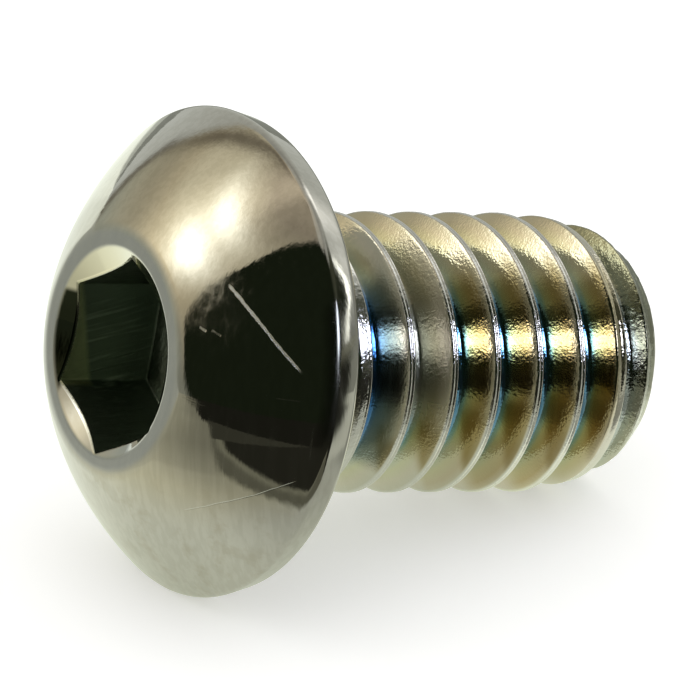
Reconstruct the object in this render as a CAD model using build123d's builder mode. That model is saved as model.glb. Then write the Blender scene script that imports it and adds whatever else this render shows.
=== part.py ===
from build123d import *

import os
from math import asin, atan2, cos, degrees, hypot, radians, sqrt, tan

# Button head socket screw, 5/16-18 UNC by 1/2 in, headed and thread-rolled from one length of wire.
# Lengths are millimetres. The screw is drawn upright with its axis on Z and the bearing face of its
# head at z = 0, the head above it and the threaded shank below, and is laid on its side at the end.

# Head
head_dia = 13.45           # across the sharp corner where the side band meets the dome
side_height = 0.97         # of that corner above the bearing face
foot_dia = 12.94           # the side band narrows to this at the bearing face
head_height = 3.9
crown_dia = 6.7            # the flat ring round the socket, where the dome ends
dome_radius = 10.7
foot_round = 0.39          # rounds the bearing face into the side band
brim_round = 0.3           # rounds the side band into the dome
crown_round = 0.8          # rounds the dome into the flat ring

# Socket
hex_flats = 4.76           # 3/16 in, across flats
hex_depth = 2.9            # from the crown to the foot of the flats
hex_corner_round = 0.08
hex_turn = 5.6             # degrees from the side that comes to lie uppermost to a corner
hex_shift = (-0.13, -0.08)  # the punch ran this far off the screw's axis
hex_point_angle = 140      # included angle of the hollow the punch's point leaves
countersink_dia = 5.78
countersink_angle = 120    # included
lip_round = 0.12

# Shank and thread
length = 12.12             # from the bearing face to the end
pitch = 25.4 / 18
thread_dia = 7.75          # over the crests
thread_angle = 60
crest_width = pitch / 8
groove_depth = 0.61343 * pitch
root_bevel = 0.07          # breaks the two corners at the bottom of the groove
groove_height = -1.01      # a groove crosses the uppermost side here, and every pitch below
runout_side = 180          # degrees round from the uppermost side to where the groove starts to rise
runout_turns = 0.6         # and the part of a turn over which it leaves the shank
neck_dia = 6.83            # the bare wire, as it is before its thread is rolled
neck_length = 0.75
neck_round = 0.5           # leaves a flat bearing face from just outside the crests outward
shoulder_angle = 30        # to the axis, where the neck widens to the thread

# End
lead_length = 2.5          # the crests start to fall away this far from the end
point_dia = 7.06           # and have come down to this where the steep point starts
point_length = 0.72
end_dia = 6.08
point_round = 0.4
end_round = 0.28

head_radius = head_dia / 2
crown_radius = crown_dia / 2
thread_radius = thread_dia / 2
neck_radius = neck_dia / 2
shoulder_length = (thread_radius - neck_radius) / tan(radians(shoulder_angle))
point_radius = point_dia / 2
end_radius = end_dia / 2
lead_height = lead_length - length
point_height = point_length - length
lead_slope = (thread_radius - point_radius) / (lead_length - point_length)

# The dome is an arc that stands off its chord by this much at the middle.
chord_run = head_radius - crown_radius
chord_rise = head_height - side_height
chord = hypot(chord_run, chord_rise)
bulge = dome_radius - sqrt(dome_radius**2 - chord**2 / 4)
dome_middle = (
    (head_radius + crown_radius) / 2 + bulge * chord_rise / chord,
    (side_height + head_height) / 2 + bulge * chord_run / chord,
)

# The groove's section is a trapezium with its two lower corners broken. It reaches past the crests by
# a little, so that it cuts through them. Each corner is a radius and a height from its middle.
overcut = 0.1
half_angle = radians(thread_angle / 2)
root_radius = thread_radius - groove_depth
half_mouth = (pitch - crest_width) / 2 + overcut * tan(half_angle)
half_root = (pitch - crest_width) / 2 - groove_depth * tan(half_angle)
groove_section = [
    (thread_radius + overcut, -half_mouth),
    (root_radius + root_bevel, -half_root - root_bevel * tan(half_angle)),
    (root_radius, root_bevel - half_root),
    (root_radius, half_root - root_bevel),
    (root_radius + root_bevel, half_root + root_bevel * tan(half_angle)),
    (thread_radius + overcut, half_mouth),
]


def groove(bottom, turns, climb=0):
    """A solid stretch of the groove, to be cut away.

    Every corner of the section runs up a helix, and a ruled face spans each pair of neighbours. The
    stretch starts at the height bottom on the +X side. Its section moves outward by climb from one
    end to the other, so a stretch with a climb leaves the shank.
    """
    rise = turns * pitch
    flare = atan2(climb, rise)
    helices = [
        # On a cone the pitch is measured along the slope.
        Edge.make_helix(pitch / cos(flare), rise, radius, (0, 0, bottom + height), angle=degrees(flare))
        for radius, height in groove_section
    ]
    neighbours = list(zip(helices, helices[1:] + helices[:1]))
    faces = [Face.make_surface_from_curves(low, high) for low, high in neighbours]
    for end in (0, 1):
        faces.append(Face(Wire([Edge.make_line(low @ end, high @ end) for low, high in neighbours])))
    return Solid(Shell(faces))


with BuildPart() as upright:
    # Head, and the shank as it is before the thread
    with BuildSketch(Plane.XZ) as head_profile:
        with BuildLine():
            Polyline((0, head_height), (0, 0), (foot_dia / 2, 0), (head_radius, side_height))
            ThreePointArc((head_radius, side_height), dome_middle, (crown_radius, head_height))
            Line((crown_radius, head_height), (0, head_height))
        make_face()
        for corner, rounding in (
            ((foot_dia / 2, 0), foot_round),
            ((head_radius, side_height), brim_round),
            ((crown_radius, head_height), crown_round),
        ):
            fillet(head_profile.vertices().sort_by_distance(corner)[0], rounding)
    revolve(axis=Axis.Z)
    with BuildSketch(Plane.XZ) as shank_profile:
        with BuildLine():
            Polyline(
                (0, 0),
                (neck_radius, 0),
                (neck_radius, -neck_length),
                (thread_radius, -neck_length - shoulder_length),
                (thread_radius, lead_height),
                (point_radius, point_height),
                (end_radius, -length),
                (0, -length),
                (0, 0),
            )
        make_face()
        for corner, rounding in (
            ((point_radius, point_height), point_round),
            ((end_radius, -length), end_round),
        ):
            fillet(shank_profile.vertices().sort_by_distance(corner)[0], rounding)
    revolve(axis=Axis.Z)
    fillet(edges().sort_by_distance((neck_radius, 0, 0))[0], neck_round)

    # Socket
    with BuildSketch(Plane.XZ):
        countersink_radius = countersink_dia / 2
        countersink_depth = countersink_radius / tan(radians(countersink_angle / 2))
        with BuildLine():
            Polyline(
                (0, head_height),
                (countersink_radius, head_height),
                (0, head_height - countersink_depth),
                (0, head_height),
            )
        make_face()
    revolve(axis=Axis.Z, mode=Mode.SUBTRACT)
    fillet(edges().sort_by_distance((countersink_radius, 0, head_height))[0], lip_round)
    with BuildSketch(Plane.XY.offset(head_height)) as hexagon:
        with Locations(hex_shift):
            RegularPolygon(hex_flats / 2, 6, major_radius=False, rotation=hex_turn)
        fillet(hexagon.vertices(), hex_corner_round)
    extrude(amount=-hex_depth, mode=Mode.SUBTRACT)
    point_depth = hex_flats / 2 / tan(radians(hex_point_angle / 2))
    with Locations((*hex_shift, head_height - hex_depth - point_depth / 2)):
        Cone(0, hex_flats / 2, point_depth, mode=Mode.SUBTRACT)

    # Thread: whole turns from below the end up to where the groove starts to rise, and the run-out
    runout_start = groove_height + (runout_side / 360 - 1) * pitch
    whole_turns = int((length + runout_start) / pitch) + 2
    for turn in range(whole_turns):
        stretch = groove(runout_start - (turn + 1) * pitch, 1)
        add(stretch, rotation=(0, 0, runout_side), mode=Mode.SUBTRACT)
    runout = groove(runout_start, runout_turns, climb=groove_depth + overcut)
    add(runout, rotation=(0, 0, runout_side), mode=Mode.SUBTRACT)

# Laid down, the screw leans on the side of its head and on one of the last crests. The lean is the
# slope of the line that touches the outermost of the head's two rounded edges and that crest's edge.
# On the lowest side the crests stand at the heights that the groove has on the uppermost side, and
# where the taper cuts a crest down, it is wider.
def lean_on(edge, height, radius):
    """Angle of the axis to the floor when the head's rounded edge and a crest share the floor."""
    middle = edge.arc_center
    run, rise = middle.Y - height, middle.X - radius
    return atan2(rise, run) + asin(edge.radius / hypot(run, rise))


rounded_edges = head_profile.edges().filter_by(GeomType.CIRCLE).sort_by(Axis.Y)[:2]
leans = []
for turn in range(int((groove_height - point_height) / pitch) + 1):
    full_edge = groove_height - turn * pitch - crest_width / 2
    fall = max(0, lead_height - full_edge) * lead_slope / (1 - lead_slope * tan(half_angle))
    crest_edge = full_edge - fall * tan(half_angle)
    leans.append(max(lean_on(edge, crest_edge, thread_radius - fall) for edge in rounded_edges))
lean = min(leans)
tipped = upright.part.rotate(Axis.Y, degrees(lean) - 90)
extent = tipped.bounding_box()
with BuildPart() as button_head_screw:
    with Locations((-extent.center().X, -extent.center().Y, -extent.min.Z)):
        add(tipped)

os.makedirs("parts", exist_ok=True)
button_head_screw.part.label = "button_head_screw"
export_step(button_head_screw.part, "parts/button_head_screw.step")
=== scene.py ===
# %% [markdown]
# # A bright-plated button head screw
# The real screw starts as a length of wire. One blow heads it, a punch makes the socket, two dies
# roll the thread, and the whole is plated. So it is one closed surface with no joint in it. The CAD
# model fixes its size and the way it lies: on the side of its head and on its last full crest.
# This lesson makes that surface again as a mesh fine enough for mirror reflections, with the small
# rounded edges that catch the light, then finishes it and lights it as a small studio would.

import bpy
import numpy as np
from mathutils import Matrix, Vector


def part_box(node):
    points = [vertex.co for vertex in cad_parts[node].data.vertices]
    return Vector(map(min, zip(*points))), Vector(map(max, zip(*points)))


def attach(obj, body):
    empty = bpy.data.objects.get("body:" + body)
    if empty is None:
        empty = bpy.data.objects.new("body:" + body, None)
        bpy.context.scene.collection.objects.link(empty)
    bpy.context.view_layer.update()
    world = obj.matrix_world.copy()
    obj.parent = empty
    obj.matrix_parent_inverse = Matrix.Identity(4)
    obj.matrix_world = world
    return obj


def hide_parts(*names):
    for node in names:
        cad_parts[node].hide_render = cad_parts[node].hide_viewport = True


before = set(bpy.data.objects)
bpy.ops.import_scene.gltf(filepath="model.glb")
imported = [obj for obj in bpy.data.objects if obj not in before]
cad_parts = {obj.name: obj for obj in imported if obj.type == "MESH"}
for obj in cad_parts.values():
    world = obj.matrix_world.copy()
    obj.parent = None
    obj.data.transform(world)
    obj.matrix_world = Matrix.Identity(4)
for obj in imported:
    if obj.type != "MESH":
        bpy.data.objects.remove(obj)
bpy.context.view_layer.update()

# %% [markdown]
# ## The camera
# A long lens a quarter of a metre away sees the head come first and the thread run away to the
# right. Its place follows from the point it aims at, how far round and how high it stands, and
# its distance.

# %% Camera
MM = 0.001
camera_aim = Vector((-1.133, -1.662, 6.302)) * MM
camera_round = np.radians(-30.97)
camera_height = np.radians(26.58)
camera_distance = 277.45 * MM
camera_back = Vector((
    np.sin(camera_round) * np.cos(camera_height),
    -np.cos(camera_round) * np.cos(camera_height),
    np.sin(camera_height),
))
camera_data = bpy.data.cameras.new("camera")
camera_data.lens = 523.3
camera_data.sensor_width = 36.0
camera_data.clip_start = 0.01
camera_data.clip_end = 20.0
camera = bpy.data.objects.new("camera", camera_data)
camera.location = camera_aim + camera_back * camera_distance
camera.rotation_mode = "QUATERNION"
camera.rotation_quaternion = (-camera_back).to_track_quat("-Z", "Y")
bpy.context.scene.collection.objects.link(camera)
bpy.context.scene.camera = camera
print("camera at", tuple(round(value, 4) for value in camera.location))

# %% [markdown]
# ## Sizes
# The sizes are the CAD model's, in millimetres. The screw is worked out upright, with its axis on Z
# and the bearing face of its head at height 0, and is laid down at the end.

# %% Sizes of the screw
head_radius = 6.725
side_height = 0.97
foot_radius = 6.47
head_height = 3.9
crown_radius = 3.35
dome_radius = 10.7
foot_round, brim_round, crown_round = 0.39, 0.3, 0.8

hex_flats = 4.76
hex_depth = 2.9
hex_turn = np.radians(5.6)
hex_shift = np.array([-0.13, -0.08])
hex_point_depth = 0.866
countersink_radius = 2.89
countersink_slope = np.tan(np.radians(30))

length = 12.12
pitch = 25.4 / 18
thread_radius = 3.875
crest_width = pitch / 8
groove_depth = 0.61343 * pitch
groove_height = -1.01
runout_turns = 0.6
runout_climb = groove_depth + 0.1
neck_radius, neck_length, neck_round = 3.415, 0.75, 0.5
shoulder_length = (thread_radius - neck_radius) / np.tan(np.radians(30))
lead_length, point_length = 2.5, 0.72
point_radius, end_radius = 3.53, 3.04
point_round, end_round = 0.4, 0.28
lead_round, shoulder_round = 3.0, 0.15

lean = np.radians(14.5525)

turn = 2 * np.pi
columns = 192
around = np.linspace(0, turn, columns + 1)
print("one pitch is", round(pitch, 4), "mm and the groove is", round(groove_depth, 4), "mm deep")

# %% [markdown]
# ## A profile with rounded corners
# A turned or headed shape is a profile carried round an axis. Blender's Bevel modifier could round
# a finished mesh, but on a mirror the rounding shows, so the arcs are put in the profile itself,
# where each one has its true radius and as many points as it needs.


# %% Rounded profile
def rounded_profile(corners, radii, arc_points=9):
    """Points (radius, height) along a line through the corners, each corner an arc of its radius.

    An arc starts and ends at radius times the tangent of half the turn before and after its corner.
    Its middle stands off the corner, on the line that halves the angle between the two runs.
    """
    corners = np.asarray(corners, float)
    points = [corners[0]]
    for before, corner, after, radius in zip(corners, corners[1:], corners[2:], radii):
        back = (before - corner) / np.linalg.norm(before - corner)
        ahead = (after - corner) / np.linalg.norm(after - corner)
        half_turn = (np.pi - np.arccos(np.clip(back @ ahead, -1, 1))) / 2
        inward = (back + ahead) / np.linalg.norm(back + ahead)
        middle = corner + inward * radius / np.cos(half_turn)
        start = corner + back * radius * np.tan(half_turn) - middle
        swing = np.linspace(0, 2 * half_turn, arc_points) * np.sign(start[1] * back[0] - start[0] * back[1])
        points.extend(
            middle + np.stack([
                start[0] * np.cos(swing) - start[1] * np.sin(swing),
                start[0] * np.sin(swing) + start[1] * np.cos(swing),
            ], axis=1)
        )
    points.append(corners[-1])
    return np.array(points)


print("a profile's arc has 9 points unless more are asked for")


# %% Rounding where two surfaces cross
def smooth_least(first, second, reach):
    """The lesser of two heights, with the corner where they cross rounded over a band of reach.

    How near they are runs from 0, a reach apart, to 1, where they cross. The square of that, times a
    quarter of the reach, comes off the lesser height.
    """
    near = np.clip(1 - np.abs(first - second) / reach, 0, None)
    return np.minimum(first, second) - near * near * reach / 4


def smooth_most(first, second, reach):
    """The greater of two heights, with the hollow where they cross rounded over a band of reach."""
    return -smooth_least(-first, -second, reach)


print("where two heights cross with a reach of 0.1 mm, the rounding takes off",
      round(float(-smooth_least(0.0, 0.0, 0.1)), 3), "mm")

# %% [markdown]
# ## The shank as it is before its thread
# The blank is a plain revolved shape: a flat end, a steep point, a long gentle lead, the full
# cylinder, a thinner neck and the under side of the head. One number, the station, says how far
# along it a point is. Along the shank the station is simply the height, and on the two flat ends it
# runs on as the distance walked inwards or outwards. That lets rows of the mesh follow the helix
# everywhere and come to rest on flats, where nothing shows.

# %% Outline of the shank
shank_outline = rounded_profile(
    [
        (0, -length),
        (end_radius, -length),
        (point_radius, point_length - length),
        (thread_radius, lead_length - length),
        (thread_radius, -neck_length - shoulder_length),
        (neck_radius, -neck_length),
        (neck_radius, 0),
        (foot_radius, 0),
    ],
    [end_round, point_round, lead_round, shoulder_round, shoulder_round, neck_round],
    arc_points=25,
)
steps = np.diff(shank_outline, axis=0)
heights = shank_outline[1:, 1]
hair = 1e-6
climbing = (heights > end_round - length) & (heights < -neck_round + hair)
walked = np.where(climbing, steps[:, 1], np.hypot(steps[:, 0], steps[:, 1]))
stations = np.concatenate([[0], np.cumsum(walked)])
stations += -neck_round - np.interp(-neck_round, shank_outline[:, 1], stations)
print("stations run from", stations[0].round(3), "to", stations[-1].round(3))


def shank_point(station):
    """Radius and height of the plain shank at a station, straight between the outline's points."""
    return [np.interp(station, stations, shank_outline[:, way]) for way in (0, 1)]


# %% [markdown]
# ## The groove and the crests
# A rolled thread is a groove pressed along a helix. Instead of sweeping a cutter, every point of the
# surface is asked one question: is the plain shank or the groove nearer to the axis here? The lesser
# of the two is the surface, and a small rounding where they cross gives the crest its soft edges.
# Rolling pushes metal up from both sides of a crest, so a shallow seam stays along its middle.

# %% Groove
flank_slope = 1 / np.tan(np.radians(30))
root_radius = thread_radius - groove_depth
half_root = (pitch - crest_width) / 2 - groove_depth / flank_slope
root_reach = 0.09
crest_reach = 0.05
no_groove = 99.0
runout_start = -np.pi


def groove_floor(height, angle):
    """Radius of the groove's surface, and the distance along the axis to the nearest groove's middle.

    A groove's middle rises by one pitch a turn. Its floor is level for half_root each side and then
    rises with the flank. Past the start of the run-out the whole groove climbs out of the shank.
    """
    grooves_up = (height - groove_height) / pitch - angle / turn
    floor = np.full(np.broadcast(height, angle).shape, no_groove)
    nearest = np.full(floor.shape, pitch)
    for nth in (np.floor(grooves_up), np.floor(grooves_up) + 1):
        aside = np.abs(grooves_up - nth) * pitch
        wound = angle + turn * nth - runout_start
        climb = runout_climb * np.clip(wound / (runout_turns * turn), 0, None)
        surface = root_radius + climb + smooth_most((aside - half_root) * flank_slope, 0, root_reach)
        surface = np.where(wound > runout_turns * turn, no_groove, surface)
        floor = np.minimum(floor, surface)
        nearest = np.minimum(nearest, aside)
    return floor, nearest


print("the groove's floor has a radius of", round(root_radius, 3), "mm and is",
      round(2 * half_root, 3), "mm wide")

# %% Crests
crest_fade, root_fade = 0.12, 0.15
first_crest, first_crest_fade = -1.9, 0.4
seam_fall, seam_spread, crest_ripple = 0.16, 0.34, 0.05
widest_half_crest = 0.5


def crest_half_width(radius):
    """Half the width of the crest's flat where the shank has this radius.

    A crest that is lower by some fall is wider on each side by that fall over the flank's slope.
    """
    fall = np.clip(thread_radius - radius, 0, groove_depth)
    return np.minimum(crest_width / 2 + fall / flank_slope, widest_half_crest)


def unevenness(angle, height, size):
    """A sum of waves along and across the helix that never repeats exactly, from -size to size."""
    wound = height / pitch * turn
    waves = (
        np.sin(23 * angle + 1.7 * wound) + np.sin(41 * angle - 2.3 * wound + 1)
        + np.sin(59 * angle + 3.1 * wound + 2) + np.sin(13 * angle - 0.9 * wound + 4)
    )
    return size * waves / 4


def shank_surface(angle, station):
    """The finished shank, upright: position in millimetres and how deep in the groove each point is.

    The radius is the lesser of the plain shank's and the groove's. On a crest the plain shank is
    first lowered by the seam, a bell across the crest, and by the unevenness that the dies leave.
    """
    plain, height = shank_point(station)
    floor, aside = groove_floor(height, angle)
    half_width = crest_half_width(plain)
    on_crest = np.clip((floor - plain) / crest_fade, 0, 1)
    on_crest = on_crest * np.clip((plain - root_radius) / root_fade, 0, 1)
    on_crest = on_crest * np.clip((first_crest - height) / first_crest_fade, 0, 1) * (floor < no_groove)
    from_middle = (pitch / 2 - aside) / half_width
    seam = seam_fall * half_width * np.exp(-(from_middle / seam_spread) ** 2)
    rough = unevenness(angle, height, crest_ripple * half_width)
    crest = plain - on_crest * (seam + rough)
    radius = smooth_least(crest, floor, crest_reach)
    depth = np.clip((thread_radius - radius) / groove_depth, 0, 1)
    return np.stack([radius * np.cos(angle), radius * np.sin(angle), height], axis=-1), depth


print("a full crest is", round(float(2 * crest_half_width(thread_radius)), 3), "mm wide")

# %% [markdown]
# ## Rows that follow the helix
# A grid of level rings would cut across every crest and leave a staircase on its edge. So the rows
# climb one pitch a turn, as the thread does, and a row that has gone round once joins the row one
# pitch above. Each pitch gets the same set of rows, close together at the crest's edges. A wedge of
# rows at each end, with no height on one side and a pitch on the other, brings them back to level.

# %% Where the rows stand
crest_rows = np.array([
    0, 0.014, 0.030, 0.046, 0.062, 0.075, 0.088, 0.102, 0.120,
    0.16, 0.25, 0.36, 0.46, 0.53, 0.575, 0.61, 0.655,
])
rows_a_pitch = 2 * len(crest_rows)
inside_edge, outside_edge = 0.042, 0.032
strip_pitches = 9
first_station = groove_height - strip_pitches * pitch
last_station = first_station + (strip_pitches + 1) * pitch


def crest_offset(step, half_width):
    """How far a row stands from the crest's middle, where the crest has this half width.

    Each step is where the row stands beside a full crest. Between the middle, the two sides of the
    crest's edge and the groove's floor, the distances are stretched to suit the crest's half width.
    """
    edge = crest_width / 2
    known = [0, edge - inside_edge, edge + outside_edge, pitch / 2 - half_root, pitch / 2]
    total = np.zeros(np.broadcast(step, half_width).shape)
    moved = [
        0 * half_width, half_width - inside_edge, half_width + outside_edge,
        pitch / 2 - half_root + 0 * half_width, pitch / 2 + 0 * half_width,
    ]
    for start, stop, low, high in zip(known, known[1:], moved, moved[1:]):
        share = np.clip((step - start) / (stop - start), 0, 1)
        total = total + share * (high - low)
    return total


print("each pitch has", rows_a_pitch, "rows")

# %% Thread rows
cells = np.arange(strip_pitches)[:, None]
crest_middle = first_station + pitch / 2 + cells * pitch + pitch * around / turn
# A crest's half width follows the shank's radius at its edge, and that edge stands a half width
# away, so the two are worked out in turn. Four rounds settle them.
lower_half = upper_half = crest_half_width(np.full(crest_middle.shape, thread_radius))
for _ in range(4):
    lower_half = crest_half_width(shank_point(crest_middle - lower_half)[0])
    upper_half = crest_half_width(shank_point(crest_middle + upper_half)[0])
lower_steps = np.concatenate([[pitch / 2], crest_rows[:0:-1]])
lower_rows = crest_middle[:, None] - crest_offset(lower_steps[None, :, None], lower_half[:, None])
upper_rows = crest_middle[:, None] + crest_offset(crest_rows[None, :, None], upper_half[:, None])
strip_stations = np.concatenate([lower_rows, upper_rows], axis=1).reshape(-1, columns + 1)
top_row = first_station + strip_pitches * pitch + pitch * around / turn
strip_stations = np.vstack([strip_stations, top_row])

share = around / turn
opening = strip_stations[:rows_a_pitch + 1, :1] - first_station
lower_wedge = first_station + opening * share
closing = last_station - strip_stations[-rows_a_pitch - 1:, -1:]
upper_wedge = last_station - closing * (1 - share)
print("the strip has", len(strip_stations), "rows, from station", round(first_station, 3),
      "to", round(last_station, 3))

# %% [markdown]
# ## The head
# Side band, brim, dome and crown are arcs that meet without a corner. Each arc starts at the slope
# where the last one ended: the middle of the brim's arc lies on a line from the dome's middle, and so
# does the middle of the arc that turns the dome into the flat crown.

# %% Middles of the head's arcs
chord = np.array([crown_radius - head_radius, head_height - side_height])
chord_length = np.hypot(*chord)
off_chord = np.sqrt(dome_radius ** 2 - chord_length ** 2 / 4)
chord_middle = np.array([(crown_radius + head_radius) / 2, (head_height + side_height) / 2])
dome_middle = chord_middle - off_chord * np.array([chord[1], -chord[0]]) / chord_length

band = np.array([head_radius - foot_radius, side_height])
band = band / np.hypot(*band)
band_normal = np.array([band[1], -band[0]])
foot_middle = np.array([foot_radius, 0]) - foot_round * band_normal
foot_middle = foot_middle + band * (foot_round - foot_middle[1]) / band[1]

brim_line = np.array([foot_radius, 0]) - brim_round * band_normal - dome_middle
along = brim_line @ band
reach = np.sqrt(along ** 2 - brim_line @ brim_line + (dome_radius - brim_round) ** 2) - along
brim_middle = dome_middle + brim_line + reach * band
crown_drop = head_height - crown_round - dome_middle[1]
crown_out = np.sqrt((dome_radius - crown_round) ** 2 - crown_drop ** 2)
crown_middle = dome_middle + np.array([crown_out, crown_drop])

band_angle = np.arctan2(band_normal[1], band_normal[0])
dome_start = np.arctan2(*(brim_middle - dome_middle)[::-1])
dome_end = np.arctan2(*(crown_middle - dome_middle)[::-1])
print("the dome's middle is at", dome_middle.round(3), "and the brim's at", brim_middle.round(3))


# %% Head profile
def arc(middle, radius, start, end, count):
    """Points on an arc: the middle plus radius times the cosine and sine of evenly spaced angles."""
    angle = np.linspace(start, end, count)
    return middle + radius * np.stack([np.cos(angle), np.sin(angle)], axis=1)


bearing_start = shank_point(last_station)[0]
bearing_end = foot_middle[0] - 0.15
bearing_rows = 6
morph_radius = crown_middle[0] - 0.02
head_profile = np.vstack([
    np.stack([np.linspace(bearing_start, bearing_end, bearing_rows), np.zeros(bearing_rows)], axis=1),
    arc(foot_middle, foot_round, -np.pi / 2, band_angle, 9),
    arc(brim_middle, brim_round, band_angle, dome_start, 9),
    arc(dome_middle, dome_radius, dome_start, dome_end, 44)[1:],
    arc(crown_middle, crown_round, dome_end, np.pi / 2, 12)[1:],
    [(morph_radius, head_height)],
])
print("the head's profile has", len(head_profile), "points")

# %% [markdown]
# ## The socket
# A cone opens the mouth, and the hexagon's six walls cut into it, so the mouth's edge rises at the
# corners and dips between them. Rings morph from the crown's circle to the hexagon, and each ring's
# height is read from the cone, which puts the edge exactly where the walls meet the cone.

# %% Hexagon
corner_columns = 3
sector_columns = columns // 6
first_corner = round(hex_turn / turn * columns)
hex_corner_round = 0.08


def hexagon_ring(grow):
    """Points of the hexagon, grown by a distance, with each corner an arc, one point a column.

    Columns near a corner share out its arc. The others share out the flat between two corners.
    """
    nth = np.arange(columns + 1) - first_corner
    from_corner = (nth + sector_columns / 2) % sector_columns - sector_columns / 2
    corner_angle = hex_turn + np.round((nth - from_corner) / sector_columns) * turn / 6
    apothem = hex_flats / 2 + grow
    middle = (apothem - hex_corner_round) / np.cos(np.pi / 6)
    bend = np.clip(from_corner / corner_columns, -1, 1) * np.pi / 6
    along_x = middle + hex_corner_round * np.cos(bend)
    along_y = hex_corner_round * np.sin(bend)
    past = (np.abs(from_corner) - corner_columns) / (sector_columns / 2 - corner_columns)
    past = np.clip(past, 0, 1)
    flat_x, flat_y = apothem * np.cos(np.pi / 6), apothem * np.sin(np.pi / 6) * np.sign(from_corner)
    along_x = along_x + past * (flat_x - along_x)
    along_y = along_y + past * (flat_y - along_y)
    ring = np.stack([
        along_x * np.cos(corner_angle) - along_y * np.sin(corner_angle),
        along_x * np.sin(corner_angle) + along_y * np.cos(corner_angle),
    ], axis=1)
    return ring + hex_shift


print("the hexagon's corners are", np.hypot(*(hexagon_ring(0) - hex_shift).T).max().round(3),
      "mm from its middle")

# %% Mouth
lip_reach = 0.035


def mouth_height(radius):
    """Height of the crown and the cone at a radius, with the lip between them rounded.

    The cone lies below the crown by its slope times how far inside its rim the radius is.
    """
    cone = head_height - (countersink_radius - radius) * countersink_slope
    return smooth_least(cone, head_height, lip_reach)


def with_height(ring, height):
    """A ring of flat points lifted to a height, or each point to its own."""
    return np.column_stack([ring, np.broadcast_to(height, len(ring))])


print("the cone meets the crown", countersink_radius, "mm from the axis")

# %% Socket rows
edge_grow = 0.05
edge_ring = hexagon_ring(edge_grow)
circle = morph_radius * np.stack([np.cos(around), np.sin(around)], axis=1)
mouth_rows = []
for part in np.linspace(0, 1, 22)[1:]:
    ring = (1 - part) * circle + part * edge_ring
    mouth_rows.append(with_height(ring, mouth_height(np.hypot(*ring.T))))
wall_ring = hexagon_ring(0)
wall_top = mouth_height(np.hypot(*wall_ring.T))
edge_drop = 0.045
edge_steps = [(0.027, -0.002), (0.011, 0.009), (0.003, 0.024), (0, edge_drop)]
edge_rows = [with_height(hexagon_ring(grow), wall_top - drop) for grow, drop in edge_steps]
hex_foot = head_height - hex_depth
socket_round = 0.06
wall_rows = [
    with_height(wall_ring, (1 - part) * (wall_top - edge_drop) + part * (hex_foot + socket_round))
    for part in np.linspace(0, 1, 12)[1:]
]
foot_steps = [(-0.006, 0.028), (-0.025, 0.008), (-socket_round, 0)]
foot_rows = [with_height(hexagon_ring(grow), hex_foot + lift) for grow, lift in foot_steps]
floor_ring = hexagon_ring(-socket_round) - hex_shift
hollow_share = 0.97
floor_circle = floor_ring * (hollow_share * hex_flats / 2 / np.hypot(*floor_ring.T))[:, None]
point_rows = [
    with_height(hex_shift + (1 - part) * floor_circle, hex_foot - part * hex_point_depth)
    for part in np.linspace(0, 1, 10)
]
socket_rows = np.array(mouth_rows + edge_rows + wall_rows + foot_rows + point_rows)
print("the socket has", len(socket_rows), "rows; its mouth's edge runs from height",
      wall_top.min().round(3), "to", wall_top.max().round(3))

# %% [markdown]
# ## One closed mesh
# Every patch is a grid of points whose last column repeats its first. Points that coincide are
# merged: that closes the seam, joins each thread row to the one a pitch above, and turns the ends
# of the wedges and the two poles into triangles. Then the screw is laid down: it is turned about Y by
# its lean, and moved to where the CAD screw's box is.
#
# The mesh also carries marks for the finish, one number a point each: how deep in the thread it is,
# and whether it is on the shank, the dome, the brim, the mouth's lip or cone, or a socket wall.

# %% Rows of the two ends
end_row_count = 8
end_face_outline = np.linspace(0, 1, end_row_count)[:, None]
end_radius_at_wedge = shank_point(first_station)[0]
end_rows = np.concatenate([
    end_face_outline[:, :, None] * end_radius_at_wedge * np.stack([np.cos(around), np.sin(around)], axis=1),
    np.full((end_row_count, columns + 1, 1), -length),
], axis=2)
lower, lower_depth = shank_surface(around, lower_wedge)
strip, strip_depth = shank_surface(around, strip_stations)
upper, upper_depth = shank_surface(around, upper_wedge)
head_rows = np.stack([
    head_profile[:, :1] * np.cos(around), head_profile[:, :1] * np.sin(around),
    np.broadcast_to(head_profile[:, 1:], (len(head_profile), columns + 1)),
], axis=2)
socket_rows = np.concatenate([head_rows[-1:], socket_rows])
print("the end face has", len(end_rows), "rows, the head", len(head_rows), "and the socket", len(socket_rows))

# %% Marks on the head's rows
head_row = np.arange(len(head_profile))
lip_start = len(head_profile) - 13
head_lip = np.clip((head_row - lip_start) / 8, 0, 1)[:, None]
brim_part = np.interp(head_row, [14, 16, 23, 26], [0, 1, 1, 0])[:, None]
socket_part = np.clip((np.arange(len(socket_rows)) - len(mouth_rows)) / 4, 0, 1)[:, None]
mouth_radius = np.hypot(*socket_rows[:, :, :2].transpose(2, 0, 1))
cone_edge, cone_fade = countersink_radius + 0.02, 0.10
cone_part = np.clip((cone_edge - mouth_radius) / cone_fade, 0, 1)
mouth_part = 1 - socket_part
print("the lip's mark starts at row", lip_start, "of the head and the brim's at row 14")

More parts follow.
